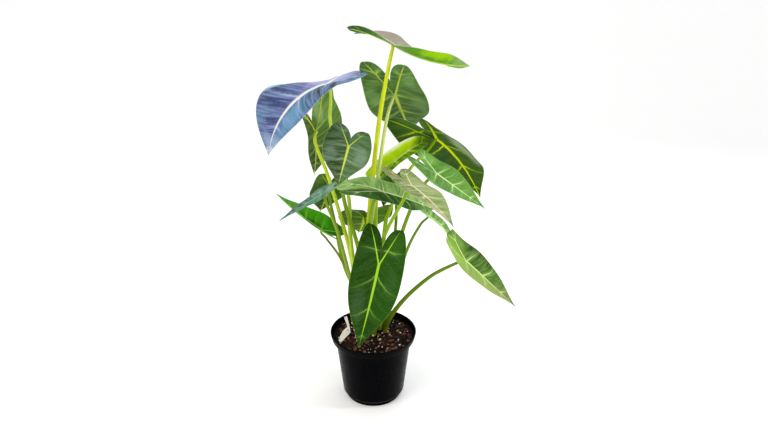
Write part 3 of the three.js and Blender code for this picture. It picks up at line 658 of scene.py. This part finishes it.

# Each leaf's upper face and underside: the right half's ground, the left half's, streaks and their share,
# veins and the share of the side veins, then washes of another tone: where (mm along and to the left of
# the stalk's end), how far (mm), tone, share. Besides the leaves' own tones, grounds, streaks and washes
# hold painted light: glare of the velvet's sheen, highlights, shade, and light shining through the blade.
LEAF_FACES = {
    # Painted light: the crown's taupe-grey upper face is the glare of its sheen, and its underside's
    # bright lime, brightest in the wash at 72 mm, is light shining through the blade.
    "crown": (
        ("#8f8a7c", "#8c8678", "#a09a8c", 0.3, "#cfcab0", 0.15, (
            (-74, 8, 20, 40, "#3f6238", 0.95),
        )),
        ("#5a9a28", "#66a526", "#78b834", 0.3, "#bcd850", 0.25, (
            (-68, 0, 50, 80, "#274834", 1), (0, -10, 28, 16, "#8f9c84", 0.7),
            (72, -22, 34, 14, "#9ccc00", 1), (112, 0, 20, 30, "#88a868", 0.9),
        )),
    ),
    "rear_upper": (
        ("#3a6a36", "#3f7040", "#5a8658", 0.25, "#a8bc60", 0.3, ()),
        ("#4e7238", "#46682e", "#84ac66", 0.5, "#c0d44c", 0.8, (
            (40, -38, 30, 16, "#8cb070", 0.6), (-45, -35, 26, 14, "#7aa864", 0.6),
            (8, 40, 30, 12, "#7ca464", 0.6), (75, -45, 20, 12, "#86a86a", 0.5),
            (14, -14, 22, 10, "#3c5c28", 0.6), (-60, 36, 24, 16, "#42622c", 0.5),
            (100, 0, 40, 30, "#4a6c30", 0.5),
        )),
    ),
    "rear_right": (
        ("#6f7a62", "#7a8668", "#8f987c", 0.3, "#c0c49c", 0.3, ()),
        ("#305414", "#2a4e1a", "#4c7420", 0.25, "#ccdc10", 0.9, (
            (-55, 0, 40, 60, "#567f2e", 0.6), (120, 0, 50, 30, "#3a591e", 0.5),
            (28, -46, 64, 22, "#98a888", 0.95), (70, 30, 30, 14, "#2c5030", 0.5),
        )),
    ),
    # Painted light: this upper face's slate-blue and lilac tones and its pale washes are reflected glare
    # on the velvet, and the dark wash on its left half is painted shade.
    "left_upper": (
        ("#343e68", "#3c6480", "#7c90c0", 0.6, "#d4d4d0", 0.3, (
            (-15, -25, 60, 40, "#a4a4cc", 0.95), (20, -75, 50, 16, "#a6a8d0", 0.9),
            (62, -70, 20, 16, "#8cc0c4", 0.9), (18, 22, 42, 22, "#2a3838", 0.88),
            (75, -45, 22, 16, "#303c58", 0.8), (40, -28, 20, 14, "#34406c", 0.7),
            (110, -35, 20, 14, "#5f8298", 0.5), (90, 14, 30, 14, "#6c9cb8", 0.5),
            (135, 0, 14, 20, "#8ca4b8", 0.8), (152, 0, 10, 10, "#c8ccd4", 0.9),
        )),
        ("#7a9a6c", "#84a476", "#93b084", 0.2, "#b4c490", 0.2, ()),
    ),
    # Painted light: the grey streaks and the two grey washes are the glare of the velvet's sheen.
    "left_heart": (
        ("#1c3812", "#3a5c34", "#788f74", 0.4, "#b8c848", 0.14, (
            (-45, 0, 24, 40, "#406a38", 0.6), (30, 22, 34, 12, "#7c9480", 0.5),
            (40, -24, 30, 9, "#667e70", 0.4),
        )),
        ("#5a7a48", "#64844f", "#74925c", 0.2, "#a8bc60", 0.2, ()),
    ),
    "centre": (
        ("#2a5616", "#a8d078", "#4c783c", 0.6, "#e8f4bc", 1, (
            (5, -22, 36, 12, "#2c501c", 0.9), (-45, -15, 30, 16, "#486c34", 0.5),
            (85, -8, 30, 12, "#7cab54", 0.6), (-42, 14, 10, 6, "#3a9a1c", 0.6),
        )),
        ("#4f7a3c", "#5a8446", "#6c9654", 0.2, "#a4be6c", 0.2, ()),
    ),
    "left_narrow": (
        ("#3c5e48", "#34744a", "#7ca08c", 0.45, "#93b0a0", 0.3, (
            (12, 8, 12, 11, "#428c5a", 0.8), (-22, 0, 16, 24, "#98b8a8", 0.65),
            (55, 0, 28, 20, "#3a5044", 0.65), (8, -12, 14, 8, "#8cac9c", 0.5),
        )),
        ("#5c8460", "#668e68", "#7a9c7a", 0.2, "#9cb888", 0.2, ()),
    ),
    "centre_right": (
        ("#5e7039", "#6a8843", "#a8a97e", 0.7, "#d4d4a8", 0.8, (
            (90, -12, 34, 12, "#a6a67c", 0.7), (20, -33, 50, 5, "#4c7030", 0.9),
            (-45, 20, 16, 10, "#3f5c34", 0.5), (5, 12, 34, 16, "#9aa474", 0.5),
        )),
        ("#6f8e4c", "#789852", "#8aa864", 0.2, "#b0c078", 0.2, ()),
    ),
    "right_upper": (
        ("#4a7634", "#4e802c", "#80aa5c", 0.32, "#c0dc98", 1, (
            (-2, 10, 8, 6, "#3f6a30", 0.7), (60, 0, 40, 24, "#6a9640", 0.4),
            (0, -30, 60, 4, "#7fae54", 0.5), (-28, 14, 20, 14, "#80b458", 0.5),
        )),
        ("#5f9642", "#69a04a", "#7cb05c", 0.2, "#b0cc78", 0.2, ()),
    ),
    "right_low": (
        ("#7c9248", "#2c540a", "#90ac60", 0.3, "#bcd880", 0.8, (
            (-30, -12, 34, 34, "#86aa42", 0.8), (-35, 22, 24, 14, "#648832", 0.7),
            (15, 34, 50, 14, "#1e3c0a", 0.9), (95, -4, 36, 16, "#787f56", 0.7),
            (60, 12, 40, 10, "#5c7a38", 0.4),
        )),
        ("#5a7a34", "#64843c", "#76944c", 0.2, "#a8bc60", 0.2, ()),
    ),
    "front": (
        ("#183806", "#1c4408", "#3c6430", 0.25, "#98c82c", 0.38, (
            (-40, 20, 26, 18, "#315a12", 0.7), (-40, -22, 26, 18, "#143804", 0.7),
            (75, -20, 30, 12, "#3a5434", 0.5), (118, 4, 28, 16, "#163604", 0.85),
            (30, 25, 30, 12, "#2f5226", 0.4),
        )),
        ("#4a702c", "#54793a", "#668a48", 0.2, "#98b450", 0.2, ()),
    ),
    "left_low": (
        ("#429810", "#7c9c66", "#60b82c", 0.35, "#98d85c", 0.7, (
            (10, -4, 50, 5, "#28560f", 0.8), (-30, -22, 26, 18, "#2c6408", 0.9),
            (75, -5, 26, 14, "#5a8f3e", 0.8), (35, 20, 36, 12, "#8ea07c", 0.5),
        )),
        ("#4f9a28", "#5aa632", "#6cb444", 0.2, "#9ccc60", 0.2, ()),
    ),
    "left_rear": (
        ("#3f6038", "#48683e", "#5c7c50", 0.2, "#9cb060", 0.2, ()),
        ("#46682a", "#385424", "#86a85c", 0.38, "#ccd448", 0.55, (
            (-30, -22, 34, 16, "#8fb070", 0.8), (0, -45, 36, 12, "#6f8f34", 0.6),
            (85, -5, 60, 34, "#3c5830", 0.8),
        )),
    ),
    "left_rear_low": (
        ("#355a24", "#3c642c", "#4f7a3c", 0.2, "#8aa84a", 0.2, ()),
        ("#467018", "#42642a", "#5c8430", 0.3, "#a8b840", 0.35, (
            (-30, 18, 20, 12, "#6a9040", 0.6), (74, 0, 40, 22, "#26400a", 0.85),
        )),
    ),
    "rear_low": (
        ("#355a1c", "#3c6424", "#4f7834", 0.2, "#8aa840", 0.2, ()),
        ("#3c6400", "#2e5000", "#5c8600", 0.3, "#a0c41c", 0.7, ((80, 0, 50, 30, "#4c7000", 0.5),)),
    ),
    "rear_mid": (
        ("#2f5222", "#365a28", "#486c38", 0.2, "#86a040", 0.2, ()),
        ("#3a5c1e", "#3f6321", "#4f7830", 0.2, "#7a9a3c", 0.2, ()),
    ),
    "right_edge": (
        ("#b8dc88", "#4f7a34", "#c8e89c", 0.3, "#c8e094", 0.2, (
            (10, 24, 40, 6, "#2c4c20", 0.9), (20, 6, 40, 10, "#5f903f", 0.75),
        )),
        ("#7aa056", "#84aa60", "#94b870", 0.2, "#b8d080", 0.2, ()),
    ),
    # Painted highlights: the two near-white washes on the young leaf's left half.
    "young": (
        ("#3c7c08", "#d4fa00", "#e8ff20", 0.3, "#f0f8b0", 0.25, (
            (-45, 18, 24, 14, "#b8ec00", 0.8), (68, 8, 26, 24, "#347c00", 0.95),
            (26, 27, 42, 10, "#fffce8", 1), (-25, 26, 16, 7, "#f8f4cc", 0.8),
            (20, -14, 44, 7, "#4f8420", 0.7), (20, -30, 60, 5, "#c8d890", 0.6),
        )),
        ("#84c020", "#8ccc28", "#a0d840", 0.2, "#d0e890", 0.2, ()),
    ),
}

# Sheen of the velvet where it is strong enough to tint the upper face, and its tone.
SHEEN = {
    "left_upper": (0.04, "#c4c4f0"), "left_heart": (0.03, "#d0dcd8"), "left_narrow": (0.05, "#c4d8d4"),
    "centre_right": (0.03, "#dcdcc8"), "crown": (0.05, "#dcd4d4"),
}
NO_SHEEN = (0, "#d0e0c8")


def bezier(a, b, c, d, u):
    return a * (1 - u) ** 3 + b * (3 * u * (1 - u) ** 2) + c * (3 * u * u * (1 - u)) + d * u**3


def flat_point(leaf, s, t, side):
    """A point of the flat blade in parts of its length, and how far its rib and its edge are apart there.
    s runs from a lobe's end (-1) over the stalk (0) to the tip (1). t is 1 on the outer edge, 0 on the
    rib and -1 on the edge between the lobes. Each edge is a curve, with two points that pull it."""
    half = leaf["width"] * (1 + side * leaf["uneven"])
    across = leaf.get("splay", SPLAY) * half
    lobe_end = Vector((-leaf["lobe"], across))
    widest = Vector((leaf["wide_at"], half))
    notch = Vector((-leaf.get("notch", NOTCH) * leaf["lobe"], 0))
    stalk = Vector((0, 0))
    lobed = s < 0 or t < 0
    g = s + 1 if lobed else s
    rib = lobe_end.lerp(stalk, g) if lobed else Vector((g, 0))
    if t >= 0 and lobed:
        first = Vector((lobe_end.x - 0.1 * leaf["lobe"], lobe_end.y + 0.62 * (half - across)))
        second = Vector((widest.x - 0.55 * (leaf["lobe"] + leaf["wide_at"]), widest.y))
        edge = bezier(lobe_end, first, second, widest, g)
    elif t >= 0:
        first = Vector((widest.x + 0.45 * (1 - leaf["wide_at"]), widest.y))
        edge = bezier(widest, first, Vector((0.7, leaf["full"])), Vector((1, 0)), g)
    elif g < NOTCH_SHARE:
        first = Vector((lobe_end.x - 0.06 * leaf["lobe"], 0.45 * lobe_end.y))
        second = Vector((notch.x - 0.3 * leaf["lobe"], 0.1 * lobe_end.y))
        edge = bezier(lobe_end, first, second, notch, g / NOTCH_SHARE)
    else:
        edge = notch.lerp(stalk, (g - NOTCH_SHARE) / (1 - NOTCH_SHARE))
    point = rib.lerp(edge, abs(t))
    bow = 0 if lobed else sin(pi * max(0, t)) * (1 - g) * min(1, 6 * g)
    return point.x + VEIN_BOW * bow, point.y * side, (edge - rib).length


def arc(length, rate, start):
    """How far an arc runs forward and sideways when it starts at an angle and turns at a rate."""
    k = rate if abs(rate) > 1e-6 else 1e-6
    return (sin(start + k * length) - sin(start)) / k, (cos(start) - cos(start + k * length)) / k


def bent_point(leaf, axes, a, b, lift):
    """The bent blade's upper face at a flat point, raised by lift mm."""
    along, left, frame_up = axes
    length = leaf["length"]
    rate = radians(leaf["droop"]) if a >= 0 else radians(leaf["lobe_droop"]) / leaf["lobe"]
    forward, drop = arc(a, rate, 0)
    turn, twist = rate * a, radians(leaf["twist"]) * a
    if a < 0 and "lobe_twist" in leaf:
        twist = radians(leaf["lobe_twist"]) * -a / leaf["lobe"]
    up = frame_up * cos(turn) + along * sin(turn)
    side = left * cos(twist) + up * sin(twist)
    normal = up * cos(twist) - left * sin(twist)
    sign = (b > 0) - (b < 0)
    out, rise = arc(abs(b), -radians(leaf["cup"]) / leaf["width"], radians(leaf["fold"]))
    wave = RIPPLE_RATE * a + radians(leaf["phase"]) + RIPPLE_SHIFT * sign
    ripple = leaf["wave"] * (b / leaf["width"]) ** 2 * sin(wave)
    return (
        Vector(leaf["at"])
        + along * forward * length
        - frame_up * drop * length
        + side * sign * out * length
        + normal * (rise * length + ripple + lift)
    )


def rows_between(veins):
    """Rows of the mesh from the first side vein to the last, closest together beside each vein."""
    steps = [a + (b - a) * f for a, b in zip(veins, veins[1:]) for f in BETWEEN_VEINS]
    return steps + [veins[-1]]


def vein_count(s):
    """A number that is whole on each side vein and runs evenly between them, at any s."""
    at_stalk = -MAIN_VEINS[0] / (MAIN_VEINS[1] - MAIN_VEINS[0])
    knots = list(zip(LOBE_VEINS + MAIN_VEINS, (-3, -2, -1, at_stalk, *range(len(MAIN_VEINS)))))
    for (a, low), (b, high) in zip(knots, knots[1:]):
        if s <= b:
            return low + (high - low) * (s - a) / (b - a)


def relief(leaf, s, t, span):
    """How far the upper face stands up from the bent sheet, and how thick the blade is there, in mm."""
    count = vein_count(s)
    puff = -QUILT_DIP + (1 + QUILT_DIP) * (0.5 - 0.5 * cos(2 * pi * count))
    lift = QUILT * puff * sin(pi * t) if t > 0 else 0
    rib_gap = abs(t) * span * leaf["length"]
    vein_gap = abs(count - round(count)) * VEIN_SPACING * leaf["length"]
    side_vein = exp(-((vein_gap / VEIN_HALF_WIDTH) ** 2)) * (1 - abs(t)) ** 0.5
    rib_height = RIB_HEIGHT - (RIB_LOSS * s if s > 0 else -LOBE_RIB_LOSS * s)
    rib = exp(-((rib_gap / (RIB_HALF_WIDTH + rib_height / 2)) ** 2))
    lift -= max(SUNK_VEIN * side_vein * min(1, rib_gap / GROOVE_START), SUNK_RIB * rib)
    to_margin = max(0, abs(t) - MARGIN_START) / (1 - MARGIN_START)
    body = BLADE_THICKNESS + (MARGIN_THICKNESS - BLADE_THICKNESS) * to_margin
    return lift, body + max(rib_height * rib, VEIN_HEIGHT * side_vein)


def velvet_blade(leaf_name, underside):
    """Leaf skin: matt with tiny bumps like velvet above, smoother and veined in relief below. Patterns
    lie on the flat blade, in mm, or run with the side veins, which the UV map counts along the leaf.
    Some of their tones are painted glare, highlights, shade and light shining through the blade."""
    kind = "smooth_underside" if underside else "velvet_upper"
    add, shader, made = new_material(f"{kind}_{leaf_name}")
    right, left, streak, sheen_streak_share, vein, side_share, tones_and_painted_light = LEAF_FACES[leaf_name][underside]
    veins = add("UVMap", {}, {"uv_map": "veins"})
    flat = add("Attribute", {}, {"attribute_name": "flat"}, "Vector")
    wander = add("TexNoise", {"Vector": flat, "Scale": 0.07, "Detail": 2})
    even = add("SeparateXYZ", {0: veins}, out="X")
    count = add("Math", {0: wander, 1: 0.3, 2: even}, TIMES_PLUS)
    count = add("Math", {0: count, 1: 0.15}, {"operation": "SUBTRACT"})
    out = add("SeparateXYZ", {0: veins}, out="Y")
    out = add("Math", {0: out}, {"operation": "ABSOLUTE"})
    leftward = add("SeparateXYZ", {0: flat}, out="Y")
    half = add("MapRange", {0: leftward, 1: -3, 2: 3})

    # Side veins: 2.5 mm wide at the rib and a third of that at the edge, where they fade. Each has its
    # own strength.
    away = add("Math", {0: count, 1: 0.5}, {"operation": "PINGPONG"})
    thin = add("MapRange", {0: out, 1: 0.0, 2: 1.0, 3: 0.1, 4: 0.04})
    near = add("Math", {0: away, 1: thin}, {"operation": "DIVIDE"})
    side_vein = add("MapRange", {0: near, 1: 1.0, 2: 0.1}, SMOOTH)
    fade = add("MapRange", {0: out, 1: 0.1, 2: 0.85, 3: side_share, 4: side_share * 0.15})
    side_vein = add("Math", {0: side_vein, 1: fade}, TIMES)
    which = add("Math", {0: count}, {"operation": "ROUND"})
    first = 1 if leaf_name in SECOND_VEIN_FIRST else 0
    turn = add("Math", {0: which, 1: first}, {"operation": "ADD"})
    turn = add("Math", {0: turn, 1: 1}, {"operation": "PINGPONG"})
    faint = 0.06 if leaf_name in FEW_VEINS else 0.3
    strong = add("MapRange", {0: turn, 3: 1.25, 4: faint})
    which = add("Math", {0: half, 1: 0.37, 2: which}, TIMES_PLUS)
    own = add("TexWhiteNoise", {"W": which}, {"noise_dimensions": "1D"})
    own = add("MapRange", {0: own, 3: 0.65, 4: 1.1})
    own = add("Math", {0: own, 1: strong}, TIMES)
    side_vein = add("Math", {0: side_vein, 1: own}, TIMES | CLAMPED)

    # The midrib and the two lobe ribs, and the fine net of small veins with 4 mm meshes.
    rib_edge = 0.08 if underside else 0.072
    rib = add("MapRange", {0: out, 1: rib_edge, 2: 0.03}, SMOOTH)
    main = add("Math", {0: rib, 1: side_vein}, {"operation": "MAXIMUM"})
    net = add("TexVoronoi", {"Vector": flat, "Scale": 0.24}, {"feature": "DISTANCE_TO_EDGE"})
    minor = add("MapRange", {0: net, 1: 0.12, 2: 0.0}, SMOOTH)

    # Ground: one tone for each half, with soft washes of others whose edges stray by up to 12 mm. Halves
    # and
    # washes are partly painted light: glare, highlights, shade and light shining through the blade.
    base = add("Mix", {0: half, 6: right, 7: left}, RGBA, 2)
    cloud = add("TexNoise", {"Vector": flat, "Scale": 0.05, "Detail": 4}, out="Color")
    stray = add("VectorMath", {0: cloud, 1: (0.5, 0.5, 0.5)}, {"operation": "SUBTRACT"})
    loose = add("VectorMath", {0: stray, 1: (24, 24, 0), 2: flat}, TIMES_PLUS)
    for x, y, reach_x, reach_y, tone_and_painted_light, share in tones_and_painted_light:
        gap = add("VectorMath", {0: loose, 1: (x, y, 0)}, {"operation": "SUBTRACT"})
        gap = add("VectorMath", {0: gap, 1: (reach_x, reach_y, 1)}, {"operation": "DIVIDE"})
        gap = add("VectorMath", {0: gap}, {"operation": "LENGTH"}, "Value")
        spot = add("MapRange", {0: gap, 1: 1.2, 2: 0.4, 4: share}, SMOOTH)
        base = add("Mix", {0: spot, 6: base, 7: tone_and_painted_light}, RGBA, 2)

    # Streaks of a paler tone that run with the side veins, the painted glare of the velvet's sheen
    # between its veins, and a halo of their tone beside each strong vein.
    drawn = add("Mapping", {"Vector": veins, "Scale": (5.5, 1.1, 1)})
    painted_sheen_streaks = add("TexNoise", {"Vector": drawn, "Scale": 1, "Detail": 3})
    painted_sheen_streaks = add("MapRange", {0: painted_sheen_streaks, 1: 0.4, 2: 0.66, 4: sheen_streak_share}, SMOOTH)
    base = add("Mix", {0: painted_sheen_streaks, 6: base, 7: streak}, RGBA, 2)
    halo = add("MapRange", {0: away, 1: 0.3, 2: 0.0, 4: 0.5}, SMOOTH)
    halo = add("Math", {0: halo, 1: own}, TIMES)
    thinning = add("MapRange", {0: out, 1: 0.1, 2: 0.9, 3: 1.0, 4: 0.25})
    halo = add("Math", {0: halo, 1: thinning}, TIMES | CLAMPED)
    base = add("Mix", {0: halo, 6: base, 7: streak}, RGBA, 2)

    # Over them the veins, and a thin edge of the same tone.
    fine = add("Math", {0: minor, 1: 0.04}, TIMES)
    edge = add("MapRange", {0: out, 1: 0.975, 2: 0.99, 4: 0.35})
    for share in (fine, main, edge):
        base = add("Mix", {0: share, 6: base, 7: vein}, RGBA, 2)

    # Papillae, the velvet's tiny bumps, are about 0.05 mm across and are drawn at 0.8 mm.
    pile = add("TexNoise", {"Vector": flat, "Scale": 1.2, "Detail": 2})
    rough = add("MapRange", {0: pile, 1: 0.3, 2: 0.7, 3: 0.42, 4: 0.58})
    deep = add("Math", {0: minor, 1: 0.4, 2: main}, TIMES_PLUS)
    out_or_in = 2.0 if underside else -2.0
    raised = add("Math", {0: deep, 1: out_or_in, 2: pile}, TIMES_PLUS)
    bump = add("Bump", {"Strength": 0.25, "Distance": 0.0005, "Height": raised})
    fill(shader, {"Base Color": base, "Roughness": rough, "Normal": bump})
    fill(shader, {"IOR": 1.42, "Specular IOR Level": 0.02 if underside else 0.05})
    sheen, tint = NO_SHEEN if underside else SHEEN.get(leaf_name, NO_SHEEN)
    fill(shader, {"Sheen Weight": sheen, "Sheen Roughness": 0.4, "Sheen Tint": tint})
    return made


def make_blade(leaf):
    """One blade: four sheets sewn into an arrow, bent, and given an underside."""
    bm = bmesh.new()
    uv = bm.loops.layers.uv.new("veins")
    flat = bm.verts.layers.float_vector.new("flat")
    thick = bm.verts.layers.float.new("thick")
    serial = bm.verts.layers.int.new("serial")
    axes = blade_frame(leaf)
    length = leaf["length"]
    lobe_part = (rows_between(LOBE_VEINS), INNER_COLUMNS + OUTER_COLUMNS)
    main_part = ([0, 0.01] + rows_between(MAIN_VEINS), OUTER_COLUMNS)
    for side in (1, -1):
        for rows, columns in (lobe_part, main_part):
            nx, ny = len(rows) - 1, len(columns) - 1
            sheet = bmesh.ops.create_grid(bm, x_segments=nx, y_segments=ny, size=0.5)["verts"]
            faces = list({f for v in sheet for f in v.link_faces})
            spots = {}
            for v in sheet:
                spots[v] = rows[round((v.co.x + 0.5) * nx)], columns[round((v.co.y + 0.5) * ny)]
            for face in faces:
                for loop in face.loops:
                    s, t = spots[loop.vert]
                    loop[uv].uv = (vein_count(s), t)
            for v, (s, t) in spots.items():
                a, b, span = flat_point(leaf, s, t, side)
                lift, thickness = relief(leaf, s, t, span)
                v.co = bent_point(leaf, axes, a, 0 if abs(b) < 1e-9 else b, lift) * MM
                v[flat] = (a * length, b * length, 0)
                v[thick] = thickness * MM
            if side < 0:
                bmesh.ops.reverse_faces(bm, faces=faces)
    bmesh.ops.remove_doubles(bm, verts=bm.verts[:], dist=SEAM * MM)
    bmesh.ops.recalc_face_normals(bm, faces=bm.faces[:])
    facing = sum((f.normal * f.calc_area() for f in bm.faces), Vector())
    if facing.dot(axes[2]) < 0:
        bmesh.ops.reverse_faces(bm, faces=bm.faces[:])
    bm.normal_update()
    for n, v in enumerate(bm.verts):
        v[serial] = n
    outward = [v.normal.copy() for v in bm.verts]
    for e in bm.edges:
        e.smooth = not e.is_boundary
    below = bmesh.ops.extrude_face_region(bm, geom=bm.faces[:], use_keep_orig=True)["geom"]
    for g in below:
        if isinstance(g, bmesh.types.BMVert):
            g.co -= outward[g[serial]] * g[thick]
        elif isinstance(g, bmesh.types.BMFace):
            g.material_index = 1
    for e in bm.edges:
        if len({f.material_index for f in e.link_faces}) > 1:
            e.smooth = False
    bmesh.ops.recalc_face_normals(bm, faces=bm.faces[:])
    bm.verts.layers.int.remove(serial)
    bm.verts.layers.float.remove(bm.verts.layers.float["thick"])
    name = leaf["name"]
    blade = new_piece(f"leaf_{name}", bm, velvet_blade(name, False), velvet_blade(name, True))
    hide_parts(f"blade_{name}")
    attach(blade, "root")


for leaf in LEAVES:
    make_blade(leaf)


# The studio: a roll of white paper laid under the plant and curved up behind it, lit by two softboxes,
# a strip and the white room. Sizes are in metres.

SWEEP_HALF_WIDTH = 6
SWEEP_FRONT = -5
SWEEP_BACK = 3.5
SWEEP_RADIUS = 1.5
SWEEP_HEIGHT = 5
SWEEP_STEPS = 24
AIR_STRENGTH = 1.05
CAMERA_PLACE = (0.0199, -0.9746, 0.7176)
CAMERA_PITCH = 20.3

# Each light's name, place, aim, size, power in watts and tone.
LIGHTS = [
    ("key_softbox", (-1.1, -1.0, 1.7), (0, 0, 0.35), (1.0, 1.0), 15, "#fff6ec"),
    ("right_strip", (1.3, -0.1, 0.7), (0, 0, 0.15), (0.12, 1.2), 9, "#ffffff"),
    ("back_softbox", (0.5, 1.3, 1.5), (0, 0, 0.4), (1.2, 0.8), 8, "#f4f8ff"),
]


def studio_paper():
    """Matt white paper with a faint mottle of 17 mm."""
    add, shader, made = new_material("studio_paper")
    place = add("TexCoord", out="Object")
    mottle = add("TexNoise", {"Vector": place, "Scale": 60, "Detail": 3})
    tone = add("Mix", {0: mottle, 6: "#f4f4f4", 7: "#f8f8f8"}, RGBA, 2)
    fill(shader, {"Base Color": tone, "Roughness": 0.9, "Specular IOR Level": 0.1})
    return made


bm = bmesh.new()
outline = [(SWEEP_FRONT, 0), (SWEEP_BACK - SWEEP_RADIUS, 0)]
for step in range(1, SWEEP_STEPS):
    a = radians(90 * step / SWEEP_STEPS)
    outline.append((SWEEP_BACK - SWEEP_RADIUS * (1 - sin(a)), SWEEP_RADIUS * (1 - cos(a))))
outline += [(SWEEP_BACK, SWEEP_RADIUS), (SWEEP_BACK, SWEEP_HEIGHT)]
row = [bm.verts.new((-SWEEP_HALF_WIDTH, y, z)) for y, z in outline]
edges = [bm.edges.new(pair) for pair in zip(row, row[1:])]
grown = bmesh.ops.extrude_edge_only(bm, edges=edges)["geom"]
far_side = [g for g in grown if isinstance(g, bmesh.types.BMVert)]
bmesh.ops.translate(bm, verts=far_side, vec=(2 * SWEEP_HALF_WIDTH, 0, 0))
bmesh.ops.recalc_face_normals(bm, faces=bm.faces[:])
if bm.faces[:][0].normal.z < 0:
    bmesh.ops.reverse_faces(bm, faces=bm.faces[:])
sweep = new_piece("paper_sweep", bm, studio_paper())

world = bpy.data.worlds.new("studio_air")
world.use_nodes = True
air = world.node_tree.nodes["Background"]
fill(air, {"Color": "#ffffff", "Strength": AIR_STRENGTH})
bpy.context.scene.world = world

for name, place, aim, size, power, tint in LIGHTS:
    lamp = bpy.data.lights.new(name, "AREA")
    lamp.shape, lamp.size, lamp.size_y, lamp.energy = "RECTANGLE", size[0], size[1], power
    lamp.color = colour(tint)[:3]
    hung = bpy.data.objects.new(name, lamp)
    hung.location = place
    hung.rotation_euler = (Vector(aim) - Vector(place)).to_track_quat("-Z", "Y").to_euler()
    bpy.context.scene.collection.objects.link(hung)

lens = bpy.data.cameras.new("camera")
lens.sensor_width, lens.lens, lens.clip_start = 36, 28.125, 0.01
camera = bpy.data.objects.new("camera", lens)
camera.location = CAMERA_PLACE
camera.rotation_euler = (radians(90 - CAMERA_PITCH), 0, 0)
bpy.context.scene.collection.objects.link(camera)
bpy.context.scene.camera = camera
bpy.context.scene.view_settings.view_transform = "Standard"
